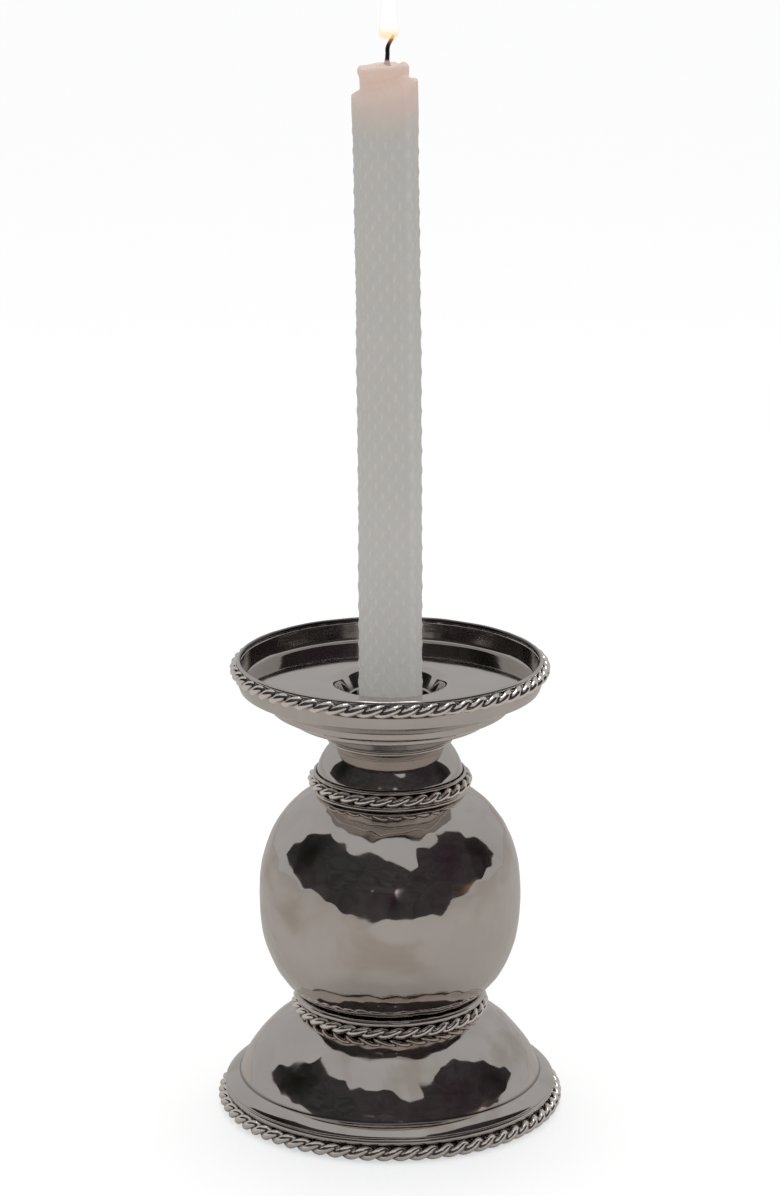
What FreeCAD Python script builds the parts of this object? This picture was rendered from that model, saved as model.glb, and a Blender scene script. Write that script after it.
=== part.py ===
"""Silver candlestick with a hammered foot, a hammered ball, a drip pan and a rolled wax candle.

Everything is turned about the Z axis. Z = 0 is the face of the felt pad that stands on the table.
Lengths are in millimetres.
"""
import FreeCAD, Part

import math
import os

import Sketcher

DRIVING_SIZES = {
    # sheet metal and play between soldered or stacked pieces
    "sheet_wall": 0.9, "thin_wall": 0.55, "play": 0.05,
    # felt pad and cover plate
    "felt_radius": 52.0, "felt_thick": 1.2, "cover_thick": 1.0,
    # foot: rope, bead wire, flange and hammered dome
    "foot_rope_ring": 56.3, "foot_rope_wire": 2.4, "foot_rope_lift": 0.45,
    "foot_bead_ring": 54.9, "foot_bead_wire": 1.4, "foot_bead_rise": 6.45,
    "skirt_radius": 53.3, "flange_radius": 56.1, "flange_rise": 7.95, "flange_curve": 7.0,
    "dome_radius": 51.2, "dome_foot_rise": 11.2,
    "dome_shoulder_radius": 44.8, "dome_shoulder_rise": 22.2, "dome_shoulder_inset": 0.63,
    "dome_mouth_radius": 24.2, "dome_top_rise": 36.0, "shoulder_curve": 34.9, "crown_curve": 44.0,
    # lower collar, in the groove between dome and ball
    "low_seat_inner": 25.9, "low_seat_outer": 29.2,
    "low_seat_bottom": 36.1, "low_seat_heel": 34.6, "low_seat_toe": 39.0, "low_seat_top": 36.85,
    "low_rope_ring": 31.5, "low_rope_wire": 2.0, "low_rope_rise": 35.55,
    "low_bead_ring": 31.3, "low_bead_wire": 1.2, "low_bead_rise": 38.8,
    # hammered ball: a short straight band with one large curve above and below it
    "ball_radius": 44.1, "ball_middle": 73.8, "ball_half_band": 4.9, "ball_curve": 37.0,
    "ball_lower_mouth": 24.2, "ball_upper_mouth": 20.9,
    # upper collar, on the ball's top
    "top_seat_inner": 21.2, "top_seat_outer": 23.6, "top_seat_rise": 117.9,
    "top_seat_heel": 113.1, "top_seat_toe": 112.0,
    "mid_bead_ring": 25.5, "mid_bead_wire": 0.9, "mid_bead_rise": 112.0,
    "top_rope_ring": 25.75, "top_rope_wire": 1.9, "top_rope_rise": 114.85,
    "top_bead_ring": 25.1, "top_bead_wire": 0.65, "top_bead_rise": 117.35,
    # knop and neck
    "knop_radius": 24.5, "knop_foot_rise": 118.0, "knop_top_radius": 18.0, "knop_top_rise": 128.8,
    "knop_curve": 19.0, "neck_radius": 20.5, "neck_bore": 16.4, "neck_bead_wire": 0.8,
    "neck_flare_rise": 133.0, "neck_throat": 22.0, "neck_top_rise": 135.45,
    # drip pan: stepped shell outside, dish inside
    "shell_bead_heel": 31.9, "shell_bead_heel_rise": 136.5, "shell_bead_toe": 33.6,
    "shell_bead_toe_rise": 137.9, "shell_bead_curve": 1.15, "shell_edge_radius": 38.2,
    "shell_edge_rise": 139.7, "shell_waist_radius": 40.7, "shell_waist_rise": 142.5,
    "shell_ledge_radius": 49.7, "shell_ledge_rise": 147.15, "shell_heel_radius": 50.3,
    "shell_heel_rise": 147.95, "shell_rim_radius": 51.2, "shell_belt_rise": 151.3,
    "shell_rim_rise": 154.7, "shell_round_curve": 0.65, "shell_heel_curve": 8.0,
    "shell_belt_lift": 0.1, "shell_heel_inset": 0.5, "shell_ledge_inset": 0.3,
    "shell_waist_inset": 0.35, "shell_edge_inset": 0.5, "shell_bead_inset": 0.6,
    "dish_collar_radius": 14.3, "dish_collar_bottom": 140.0, "dish_collar_rise": 141.4,
    "dish_collar_drop": 0.3, "dish_well_radius": 20.6, "dish_well_rise": 146.66,
    "dish_well_outset": 0.42, "dish_well_drop": 0.5, "dish_well_curve": 10.0,
    "dish_well_edge": 27.0, "dish_floor_rise": 149.0,
    "dish_floor_radius": 48.0, "dish_corner_curve": 0.9, "dish_wall_foot_radius": 48.89,
    "dish_wall_foot_rise": 149.76, "dish_foot_outset": 0.64, "dish_foot_drop": 0.105,
    "dish_rim_radius": 49.8, "dish_rim_rise": 155.3, "dish_sheet": 0.65,
    "lip_ring": 50.45, "lip_wire": 0.8, "lip_rise": 156.2,
    "pan_rope_back": 51.3, "pan_rope_depth": 2.1, "pan_rope_half": 2.3, "pan_rope_rise": 153.8,
    # candle socket
    "socket_bore": 11.4, "socket_mouth": 13.2, "socket_wall": 1.0, "socket_floor": 123.0,
    "socket_base": 120.0, "socket_taper_foot": 131.0, "socket_shoulder": 134.5, "socket_rim": 143.9,
    "socket_boss_radius": 6.0, "socket_boss_foot": 112.0, "socket_thread_end": 121.3,
    "socket_flange_radius": 18.5, "socket_flange_rise": 137.1, "socket_flange_thick": 0.9,
    # tie rod and what it clamps
    "rod_radius": 2.5, "rod_foot": 24.5, "rod_top": 121.0, "rod_thread_play": 0.1, "rod_hole": 2.8,
    "nut_flats": 8.0, "nut_thick": 4.0, "nut_foot": 26.6,
    "lock_washer_radius": 4.6, "lock_washer_thick": 1.1, "washer_radius": 7.5, "washer_thick": 1.2,
    "clamp_disc_radius": 25.2, "clamp_disc_thick": 1.4,
    "low_disc_radius": 24.8, "low_disc_rise": 37.7, "disc_thick": 1.2,
    "top_disc_radius": 23.4, "top_disc_rise": 109.4,
    # candle and wick
    "candle_radius": 11.1, "candle_top": 350.0, "candle_core_radius": 8.6, "candle_crown_rise": 354.6,
    "candle_edge_curve": 2.4, "candle_crown_curve": 11.0,
    "wick_radius": 0.75, "wick_foot": 325.0, "wick_top": 364.5, "wick_hole": 0.9,
}


class Size:
    """A length that knows its number and the sheet expression that gives it."""

    def __init__(self, number, text):
        self.number = number
        self.text = text

    def combined(self, other, sign, reverse=False):
        if not isinstance(other, Size):
            other = Size(float(other), repr(float(other)))
        left, right = (other, self) if reverse else (self, other)
        results = {
            "+": left.number + right.number,
            "-": left.number - right.number,
            "*": left.number * right.number,
        }
        return Size(results[sign], f"({left.text} {sign} {right.text})")

    def __add__(self, other):
        return self.combined(other, "+")

    __radd__ = __add__

    def __sub__(self, other):
        return self.combined(other, "-")

    def __rsub__(self, other):
        return self.combined(other, "-", reverse=True)

    def __mul__(self, other):
        return self.combined(other, "*")

    __rmul__ = __mul__

    def __neg__(self):
        return Size(-self.number, f"(-{self.text})")


AXIS = Size(0.0, "0")


class Sheet:
    """The spreadsheet of driving sizes, read as attributes: sizes.ball_radius is a Size."""

    def __init__(self, doc):
        self.table = doc.addObject("Spreadsheet::Sheet", "Sizes")
        for row, (alias, value) in enumerate(DRIVING_SIZES.items(), start=1):
            self.table.set(f"A{row}", alias)
            self.table.set(f"B{row}", str(value))
            self.table.setAlias(f"B{row}", alias)

    def __getattr__(self, alias):
        return Size(DRIVING_SIZES[alias], f"Sizes.{alias}")


def bind(item, **properties):
    """Bind properties of a document object to sheet expressions."""
    for name, size in properties.items():
        item.setExpression(name, size.text)


def bend_centre(start, end, radius):
    """Centre of the shorter arc from start to end: on the left for a positive radius."""
    span = end - start
    half = span.Length / 2
    offset = math.sqrt(max(radius ** 2 - half ** 2, 0.0))
    side = FreeCAD.Vector(-span.y, span.x, 0).normalize()
    return (start + end) / 2 + side * math.copysign(offset, radius)


def add_side(sketch, start, end, bend):
    """Draw one side of an outline; give the index of its geometry and the ends that meet the corners."""
    if bend is None:
        return sketch.addGeometry(Part.LineSegment(start, end), False), 1, 2
    centre = bend_centre(start, end, bend.number)
    circle = Part.Circle(centre, FreeCAD.Vector(0, 0, 1), abs(bend.number))
    first, last = (start, end) if bend.number > 0 else (end, start)
    angles = [math.atan2(point.y - centre.y, point.x - centre.x) for point in (first, last)]
    index = sketch.addGeometry(Part.ArcOfCircle(circle, *angles), False)
    return (index, 1, 2) if bend.number > 0 else (index, 2, 1)


def turned(doc, label, corners):
    """A body turned about Z from a closed outline of corners (radius, height[, bend of the next side])."""
    body = doc.addObject("PartDesign::Body", label)
    body.Label = label
    plane = next(item for item in body.Origin.OriginFeatures if item.Role == "XZ_Plane")
    sketch = body.newObject("Sketcher::SketchObject", f"{label}_outline")
    sketch.AttachmentSupport = [(plane, "")]
    sketch.MapMode = "FlatFace"
    points = [FreeCAD.Vector(corner[0].number, corner[1].number, 0) for corner in corners]
    bends = [corner[2] if len(corner) == 3 else None for corner in corners]
    sides = []
    for index, bend in enumerate(bends):
        sides.append(add_side(sketch, points[index], points[(index + 1) % len(points)], bend))
    for index, (side, start, _) in enumerate(sides):
        before, _, end = sides[index - 1]
        sketch.addConstraint(Sketcher.Constraint("Coincident", before, end, side, start))
        place(sketch, side, start, *corners[index][:2])
        if bends[index] is not None:
            curve = sketch.addConstraint(Sketcher.Constraint("Radius", side, abs(bends[index].number)))
            sketch.setExpression(f"Constraints[{curve}]", f"abs({bends[index].text})")
    turn = body.newObject("PartDesign::Revolution", f"{label}_turn")
    turn.Profile = sketch
    turn.ReferenceAxis = (sketch, ["V_Axis"])
    turn.Angle = 360
    body.Tip = turn
    return body


def place(sketch, side, end, radius, height):
    """Hold a corner at its radius and height, both read from the sheet."""
    if radius is AXIS:
        sketch.addConstraint(Sketcher.Constraint("PointOnObject", side, end, -2))
    else:
        across = sketch.addConstraint(Sketcher.Constraint("DistanceX", -1, 1, side, end, radius.number))
        sketch.setExpression(f"Constraints[{across}]", radius.text)
    up = sketch.addConstraint(Sketcher.Constraint("DistanceY", -1, 1, side, end, height.number))
    sketch.setExpression(f"Constraints[{up}]", height.text)


def washer(doc, label, hole, radius, bottom, thick):
    """A flat ring, as a turned rectangle."""
    top = bottom + thick
    return turned(doc, label, [(hole, bottom), (radius, bottom), (radius, top), (hole, top)])


def disc(doc, label, radius, bottom, thick):
    """A plain round plate, or a rod when it is tall."""
    plate = doc.addObject("Part::Cylinder", label)
    plate.Label = label
    bind(plate, Radius=radius, Height=thick)
    plate.setExpression("Placement.Base.z", bottom.text)
    return plate


def wire_ring(doc, label, ring, wire, rise):
    """A ring of round wire: ring is the radius of its centre line, wire is the wire's own radius."""
    torus = doc.addObject("Part::Torus", label)
    torus.Label = label
    bind(torus, Radius1=ring, Radius2=wire)
    torus.setExpression("Placement.Base.z", rise.text)
    return torus


def foot(doc, s):
    """Felt pad, cover plate, rope border, bead wire and the hammered dome with its flange and skirt."""
    cover_top = s.felt_thick + s.cover_thick
    wall = s.sheet_wall
    inset = s.dome_shoulder_inset
    skirt_inner = s.skirt_radius - wall
    rope_rise = s.foot_rope_wire + s.foot_rope_lift
    dome = turned(doc, "foot_dome", [
        (skirt_inner, cover_top),
        (s.skirt_radius, cover_top),
        (s.skirt_radius, s.flange_rise),
        (s.flange_radius, s.flange_rise, s.flange_curve),
        (s.dome_radius, s.dome_foot_rise, s.shoulder_curve),
        (s.dome_shoulder_radius, s.dome_shoulder_rise, s.crown_curve),
        (s.dome_mouth_radius, s.dome_top_rise),
        (s.dome_mouth_radius, s.dome_top_rise - wall, wall - s.crown_curve),
        (s.dome_shoulder_radius - inset, s.dome_shoulder_rise - inset, wall - s.shoulder_curve),
        (s.dome_radius - wall, s.dome_foot_rise),
        (skirt_inner, s.flange_rise),
    ])
    return [
        disc(doc, "felt_pad", s.felt_radius, AXIS, s.felt_thick),
        disc(doc, "base_cover_plate", s.skirt_radius, s.felt_thick, s.cover_thick),
        wire_ring(doc, "foot_rope_border", s.foot_rope_ring, s.foot_rope_wire, rope_rise),
        wire_ring(doc, "foot_bead_wire", s.foot_bead_ring, s.foot_bead_wire, s.foot_bead_rise),
        dome,
    ]


def lower_collar(doc, s):
    """Bearing ring in the groove between dome and ball, with its rope and bead wire."""
    return [
        turned(doc, "lower_collar_ring", [
            (s.low_seat_inner, s.low_seat_bottom),
            (s.low_seat_outer, s.low_seat_heel),
            (s.low_seat_outer, s.low_seat_toe),
            (s.low_seat_inner, s.low_seat_top),
        ]),
        wire_ring(doc, "lower_collar_rope", s.low_rope_ring, s.low_rope_wire, s.low_rope_rise),
        wire_ring(doc, "lower_collar_bead", s.low_bead_ring, s.low_bead_wire, s.low_bead_rise),
    ]


def circle_rise(centre_radius, curve, radius):
    """Sheet expression for the height of a circle above its centre at a given radius."""
    reach = math.sqrt(curve.number ** 2 - (radius.number - centre_radius.number) ** 2)
    text = f"sqrt({curve.text}^2 - ({radius.text} - {centre_radius.text})^2)"
    return Size(reach, text)


def ball(doc, s):
    """The hollow ball in two raised halves that meet at its middle."""
    halves = []
    centre_radius = s.ball_radius - s.ball_curve
    inner_curve = s.ball_curve - s.sheet_wall
    for label, mouth, way in (
        ("ball_lower_half", s.ball_lower_mouth, -1),
        ("ball_upper_half", s.ball_upper_mouth, 1),
    ):
        centre = s.ball_middle + way * s.ball_half_band
        halves.append(turned(doc, label, [
            (s.ball_radius - s.sheet_wall, s.ball_middle),
            (s.ball_radius, s.ball_middle),
            (s.ball_radius, centre, way * s.ball_curve),
            (mouth, centre + way * circle_rise(centre_radius, s.ball_curve, mouth)),
            (mouth, centre + way * circle_rise(centre_radius, inner_curve, mouth), -way * inner_curve),
            (s.ball_radius - s.sheet_wall, centre),
        ]))
    return halves


def upper_collar(doc, s):
    """Bearing ring on the ball's top, with a bead, a rope and a second bead round it."""
    return [
        turned(doc, "upper_collar_ring", [
            (s.top_seat_inner, s.top_seat_heel),
            (s.top_seat_outer, s.top_seat_toe),
            (s.top_seat_outer, s.top_seat_rise),
            (s.top_seat_inner, s.top_seat_rise),
        ]),
        wire_ring(doc, "upper_collar_bottom_bead", s.mid_bead_ring, s.mid_bead_wire, s.mid_bead_rise),
        wire_ring(doc, "upper_collar_rope", s.top_rope_ring, s.top_rope_wire, s.top_rope_rise),
        wire_ring(doc, "upper_collar_top_bead", s.top_bead_ring, s.top_bead_wire, s.top_bead_rise),
    ]


def knop_and_neck(doc, s):
    """The smooth bell-shaped knop and the short beaded neck that carries the pan."""
    wall = s.sheet_wall
    knop = turned(doc, "knop", [
        (s.knop_radius - wall, s.knop_foot_rise),
        (s.knop_radius, s.knop_foot_rise, s.knop_curve),
        (s.knop_top_radius, s.knop_top_rise),
        (s.neck_bore, s.knop_top_rise),
        (s.neck_bore, s.knop_top_rise - wall, wall - s.knop_curve),
    ])
    neck_foot = s.knop_top_rise + s.play
    bead_rise = neck_foot + s.neck_bead_wire
    neck = turned(doc, "pan_neck", [
        (s.neck_bore, neck_foot),
        (s.neck_radius, neck_foot, s.neck_bead_wire),
        (s.neck_radius + s.neck_bead_wire, bead_rise, s.neck_bead_wire),
        (s.neck_radius, bead_rise + s.neck_bead_wire),
        (s.neck_radius, s.neck_flare_rise),
        (s.neck_throat, s.neck_top_rise),
        (s.neck_bore, s.neck_top_rise),
    ])
    return [knop, neck]


def drip_pan(doc, s):
    """Stepped outer shell, inner dish with its rolled well collar, lip wire and rope border."""
    wall = s.thin_wall
    shell_foot = s.neck_top_rise + s.play
    shell = turned(doc, "pan_under_shell", [
        (s.neck_bore, shell_foot),
        (s.neck_throat, shell_foot),
        (s.shell_bead_heel, s.shell_bead_heel_rise, s.shell_bead_curve),
        (s.shell_bead_toe, s.shell_bead_toe_rise),
        (s.shell_edge_radius, s.shell_edge_rise),
        (s.shell_waist_radius, s.shell_waist_rise),
        (s.shell_ledge_radius, s.shell_ledge_rise, s.shell_round_curve),
        (s.shell_heel_radius, s.shell_heel_rise, s.shell_heel_curve),
        (s.shell_rim_radius, s.shell_belt_rise),
        (s.shell_rim_radius, s.shell_rim_rise),
        (s.shell_rim_radius - wall, s.shell_rim_rise),
        (s.shell_rim_radius - wall, s.shell_belt_rise + s.shell_belt_lift, wall - s.shell_heel_curve),
        (s.shell_heel_radius - s.shell_heel_inset, s.shell_heel_rise + s.shell_belt_lift),
        (s.shell_ledge_radius - s.shell_ledge_inset, s.shell_ledge_rise + wall),
        (s.shell_waist_radius - s.shell_waist_inset, s.shell_waist_rise + s.shell_waist_inset),
        (s.shell_edge_radius - s.shell_edge_inset, s.shell_edge_rise + s.shell_edge_inset),
        (s.shell_bead_toe - s.shell_bead_inset, s.shell_bead_toe_rise + s.shell_waist_inset),
        (s.shell_bead_heel, s.shell_bead_heel_rise + wall),
        (s.neck_throat, shell_foot + wall),
        (s.neck_bore, shell_foot + wall),
    ])
    sheet = s.dish_sheet
    collar_outer = s.dish_collar_radius + sheet
    well_curve, corner_curve = s.dish_well_curve, s.dish_corner_curve
    dish = turned(doc, "drip_tray", [
        (s.dish_collar_radius, s.dish_collar_bottom),
        (collar_outer, s.dish_collar_bottom),
        (collar_outer, s.dish_collar_rise - s.dish_collar_drop),
        (s.dish_well_radius + s.dish_well_outset, s.dish_well_rise - s.dish_well_drop, sheet - well_curve),
        (s.dish_well_edge, s.dish_floor_rise - sheet),
        (s.dish_floor_radius, s.dish_floor_rise - sheet, corner_curve + sheet),
        (s.dish_wall_foot_radius + s.dish_foot_outset, s.dish_wall_foot_rise - s.dish_foot_drop),
        (s.dish_rim_radius + sheet, s.dish_rim_rise),
        (s.dish_rim_radius, s.dish_rim_rise),
        (s.dish_wall_foot_radius, s.dish_wall_foot_rise, -corner_curve),
        (s.dish_floor_radius, s.dish_floor_rise),
        (s.dish_well_edge, s.dish_floor_rise, well_curve),
        (s.dish_well_radius, s.dish_well_rise),
        (s.dish_collar_radius, s.dish_collar_rise),
    ])
    rope_bottom = s.pan_rope_rise - s.pan_rope_half
    rope_top = s.pan_rope_rise + s.pan_rope_half
    rope = turned(doc, "pan_rope_border", [
        (s.pan_rope_back, rope_bottom, s.pan_rope_half + s.play),
        (s.pan_rope_back + s.pan_rope_depth, s.pan_rope_rise, s.pan_rope_half + s.play),
        (s.pan_rope_back, rope_top),
    ])
    lip = wire_ring(doc, "pan_lip_wire", s.lip_ring, s.lip_wire, s.lip_rise)
    return [shell, dish, rope, lip]


def candle_socket(doc, s):
    """The cup that holds the candle's foot, with a flange on the pan and a threaded boss for the rod."""
    bore = s.rod_radius + s.rod_thread_play
    return turned(doc, "candle_socket", [
        (bore, s.socket_boss_foot),
        (s.socket_boss_radius, s.socket_boss_foot),
        (s.socket_boss_radius, s.socket_base),
        (s.socket_bore + s.socket_wall, s.socket_base),
        (s.socket_bore + s.socket_wall, s.socket_taper_foot),
        (s.socket_mouth + s.socket_wall, s.socket_shoulder),
        (s.socket_mouth + s.socket_wall, s.socket_flange_rise - s.socket_flange_thick),
        (s.socket_flange_radius, s.socket_flange_rise - s.socket_flange_thick),
        (s.socket_flange_radius, s.socket_flange_rise),
        (s.socket_mouth + s.socket_wall, s.socket_flange_rise),
        (s.socket_mouth + s.socket_wall, s.socket_rim),
        (s.socket_mouth, s.socket_rim),
        (s.socket_bore, s.socket_taper_foot),
        (s.socket_bore, s.socket_floor),
        (AXIS, s.socket_floor),
        (AXIS, s.socket_thread_end),
        (bore, s.socket_thread_end),
    ])


def tie_rod_parts(doc, s):
    """The rod through the middle, its centring discs, and the clamp disc, washers and nut under the foot."""
    nut_bore = s.rod_radius + s.play
    hole = s.rod_hole
    lock_foot = s.nut_foot + s.nut_thick + s.play
    washer_foot = lock_foot + s.lock_washer_thick + s.play
    clamp_foot = washer_foot + s.washer_thick + s.play
    blank = doc.addObject("Part::Prism", "rod_nut_blank")
    blank.Polygon = 6
    blank.setExpression("Circumradius", f"{s.nut_flats.text} / (2 * cos(30 deg))")
    blank.setExpression("Height", s.nut_thick.text)
    blank.setExpression("Placement.Base.z", s.nut_foot.text)
    thread = disc(doc, "rod_nut_thread", nut_bore, s.nut_foot, s.nut_thick)
    nut = doc.addObject("Part::Cut", "rod_nut")
    nut.Label = "rod_nut"
    nut.Base = blank
    nut.Tool = thread
    return [
        disc(doc, "tie_rod", s.rod_radius, s.rod_foot, s.rod_top - s.rod_foot),
        nut,
        washer(doc, "rod_lock_washer", hole, s.lock_washer_radius, lock_foot, s.lock_washer_thick),
        washer(doc, "rod_washer", hole, s.washer_radius, washer_foot, s.washer_thick),
        washer(doc, "foot_clamp_disc", hole, s.clamp_disc_radius, clamp_foot, s.clamp_disc_thick),
        washer(doc, "lower_centring_disc", hole, s.low_disc_radius, s.low_disc_rise, s.disc_thick),
        washer(doc, "upper_centring_disc", hole, s.top_disc_radius, s.top_disc_rise, s.disc_thick),
    ]


def candle_and_wick(doc, s):
    """The wax candle with its softened crown, drilled for the wick that stands out of it."""
    candle = turned(doc, "candle", [
        (AXIS, s.socket_floor + s.play),
        (s.candle_radius, s.socket_floor + s.play),
        (s.candle_radius, s.candle_top - s.candle_edge_curve, s.candle_edge_curve),
        (s.candle_core_radius, s.candle_top, s.candle_crown_curve),
        (s.wick_hole, s.candle_crown_rise),
        (s.wick_hole, s.wick_foot),
        (AXIS, s.wick_foot),
    ])
    wick_foot = s.wick_foot + s.play
    return [candle, disc(doc, "wick", s.wick_radius, wick_foot, s.wick_top - wick_foot)]


def check(doc, pieces):
    """Stop if anything in the document failed, or a piece has no valid solid."""
    for item in doc.Objects:
        if "Invalid" in item.State or "Error" in item.State:
            raise RuntimeError(f"{item.Label} failed: {item.State}")
    for piece in pieces:
        shape = piece.Shape
        if shape.isNull() or not shape.isValid() or len(shape.Solids) != 1:
            raise RuntimeError(f"{piece.Label} has no single valid solid")


def main():
    doc = FreeCAD.newDocument("Candlestick")
    sizes = Sheet(doc)
    doc.recompute()
    pieces = [
        *foot(doc, sizes),
        *lower_collar(doc, sizes),
        *ball(doc, sizes),
        *upper_collar(doc, sizes),
        *knop_and_neck(doc, sizes),
        *drip_pan(doc, sizes),
        candle_socket(doc, sizes),
        *tie_rod_parts(doc, sizes),
        *candle_and_wick(doc, sizes),
    ]
    doc.recompute()
    check(doc, pieces)
    os.makedirs("parts", exist_ok=True)
    for piece in pieces:
        piece.Shape.exportStep(f"parts/{piece.Label}.step")
        box = piece.Shape.BoundBox
        print(f"{piece.Label}: radius {box.XMax:.2f}, z {box.ZMin:.2f} to {box.ZMax:.2f}, "
              f"volume {piece.Shape.Volume / 1000:.2f} cm3")


main()
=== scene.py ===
"""Silver candlestick: hammered foot and ball, rope-wire borders, drip pan and a lit rolled-wax candle."""

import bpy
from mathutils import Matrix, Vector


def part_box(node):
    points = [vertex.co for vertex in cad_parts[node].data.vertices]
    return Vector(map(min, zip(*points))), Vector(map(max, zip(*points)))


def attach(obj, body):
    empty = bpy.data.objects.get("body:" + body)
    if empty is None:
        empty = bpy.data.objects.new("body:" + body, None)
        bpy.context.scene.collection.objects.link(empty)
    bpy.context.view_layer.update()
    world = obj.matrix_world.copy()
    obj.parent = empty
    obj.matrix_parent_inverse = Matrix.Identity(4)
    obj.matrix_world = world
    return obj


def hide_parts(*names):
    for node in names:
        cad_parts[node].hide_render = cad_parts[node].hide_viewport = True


bl_info = {
    "name": "Hammered Candlestick",
    "version": (1, 0, 0),
    "blender": (4, 5, 0),
    "location": "View3D > Sidebar > Candlestick",
    "description": "Builds the candlestick's finished surfaces round its fixed CAD frame",
    "category": "Add Mesh",
}

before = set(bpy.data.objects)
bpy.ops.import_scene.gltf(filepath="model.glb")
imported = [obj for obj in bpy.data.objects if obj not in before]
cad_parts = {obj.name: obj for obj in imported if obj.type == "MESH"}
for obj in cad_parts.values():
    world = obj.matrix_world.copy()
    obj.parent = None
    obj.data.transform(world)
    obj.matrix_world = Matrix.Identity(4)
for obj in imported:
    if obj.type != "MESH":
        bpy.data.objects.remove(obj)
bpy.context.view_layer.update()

import math

import bpy
import numpy as np
from bpy.props import FloatProperty, FloatVectorProperty, IntProperty, PointerProperty
from bpy.types import Operator, Panel, PropertyGroup

MM = 0.001
TURN = 2 * math.pi
HOLDER = "holder"
CANDLE = "candle"

# Heights and radii that several lines share, in millimetres.
FLANGE_TOP = 11.2
BALL_MIDDLE = 73.76
BALL_SEAM = 73.8
CANDLE_FOOT = 123.06
WALL_FOOT = 123.1
WAX_REACH = 11.0
SHEET = 0.65
CORE_REACH = 7.85
CROWN = 354.7
CROWN_EDGE = 1.3
WICK_WAX = (356.5, 355.7)
WICK_GLOW = (360.6, 364.9)
FLAME_TIP = 384.5

# The superellipse power of the ball, and what brings a field of blows to a mean of about 0.
BALL_POWER = 2.383
BLOW_GAIN = 2.2
BLOW_MEAN = 0.62


# ---------------------------------------------------------------- settings


class RopeSettings(PropertyGroup):
    """The twisted-wire rings."""

    foot_ridges: IntProperty(name="Foot ridges", description="Ridges round the foot's rope", default=64)
    low_ridges: IntProperty(
        name="Lower collar ridges", description="Ridges round the lower collar's rope", default=36
    )
    top_ridges: IntProperty(
        name="Upper collar ridges", description="Ridges round the upper collar's rope", default=30
    )
    pan_ridges: IntProperty(name="Pan ridges", description="Ridges round the drip pan's rope", default=56)
    fullness: FloatProperty(
        name="Fullness", description="Power of the strands' outline: smaller is fuller", default=0.42
    )
    waist: FloatProperty(
        name="Waist", description="Least radius between the strands, as a share of the wire's", default=0.52
    )


class HammerSettings(PropertyGroup):
    """The marks that planishing leaves on the ball and the foot."""

    ball_spacing: FloatProperty(name="Ball mark spacing", description="Distance between blows", default=4.7)
    ball_depth: FloatProperty(
        name="Ball mark depth", description="Height from a mark's middle to its edge", default=0.105
    )
    foot_spacing: FloatProperty(name="Foot mark spacing", description="Distance between blows", default=4.6)
    foot_depth: FloatProperty(
        name="Foot mark depth", description="Height from a mark's middle to its edge", default=0.10
    )
    wander: FloatProperty(name="Wander", description="Slow unevenness of the raised sheet", default=0.16)


class SilverSettings(PropertyGroup):
    """Colour and polish of the silver."""

    colour: FloatVectorProperty(
        name="Silver", description="Colour of the polished silver", subtype="COLOR",
        default=(0.685, 0.64, 0.605),
    )
    # Painted shade and tarnish: this near-black colour is painted into grooves and hollows for the shade
    # there, and for some tarnish.
    shade_and_tarnish: FloatVectorProperty(
        name="Painted_shade_and_tarnish", description="Colour left in the grooves", subtype="COLOR",
        default=(0.055, 0.048, 0.044),
    )
    roughness: FloatProperty(name="Roughness", description="Roughness of the polish", default=0.07)
    # Painted highlight: how much brighter the ropes' silver is than the sheet's, so that the ropes read as
    # lit.
    rope_highlight_gain: FloatProperty(
        name="Rope brightness", description="Brightness of the highlighted ropes against the sheet", default=1.4
    )


class CandleSettings(PropertyGroup):
    """The rolled wax sheet, its wick and flame."""

    colour: FloatVectorProperty(
        name="Wax", description="Colour of the wax sheet", subtype="COLOR", default=(0.95, 0.935, 0.895)
    )
    cells_round: IntProperty(name="Cells round", description="Honeycomb cells round the candle", default=14)
    cell_depth: FloatProperty(
        name="Cell depth", description="Depth of the pressed cells in millimetres", default=0.30
    )
    lean: FloatProperty(
        name="Lean", description="How far the top leans sideways, in millimetres", default=-1.8
    )


class StageSettings(PropertyGroup):
    """Floor, lights, dark screen and camera."""

    light: FloatProperty(name="Room light", description="Brightness of the room", default=0.58)
    screen: FloatVectorProperty(
        name="Screen", description="Colour of the dark screen", subtype="COLOR", default=(0.062, 0.056, 0.060)
    )
    camera_height: FloatProperty(
        name="Camera height", description="Camera above the table", unit="LENGTH", default=0.5427
    )
    camera_distance: FloatProperty(
        name="Camera distance", description="Camera from the axis", unit="LENGTH", default=1.3145
    )
    camera_pitch: FloatProperty(
        name="Camera pitch", description="Downward tilt", subtype="ANGLE", default=0.2710
    )
    camera_lens: FloatProperty(name="Focal length", description="Lens on a 36 mm frame", default=123.87)


class CandlestickSettings(PropertyGroup):
    """Everything a user may change."""

    rope: PointerProperty(type=RopeSettings)
    hammer: PointerProperty(type=HammerSettings)
    silver: PointerProperty(type=SilverSettings)
    candle: PointerProperty(type=CandleSettings)
    stage: PointerProperty(type=StageSettings)


# ---------------------------------------------------------------- outlines, in millimetres


def line(start, end, step=1.0):
    """Points from start up to, and without, end: an even division of the straight line between them."""
    start, end = np.array(start, float), np.array(end, float)
    count = max(1, round(np.linalg.norm(end - start) / step))
    share = np.arange(count)[:, None] / count
    return start + (end - start) * share


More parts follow.
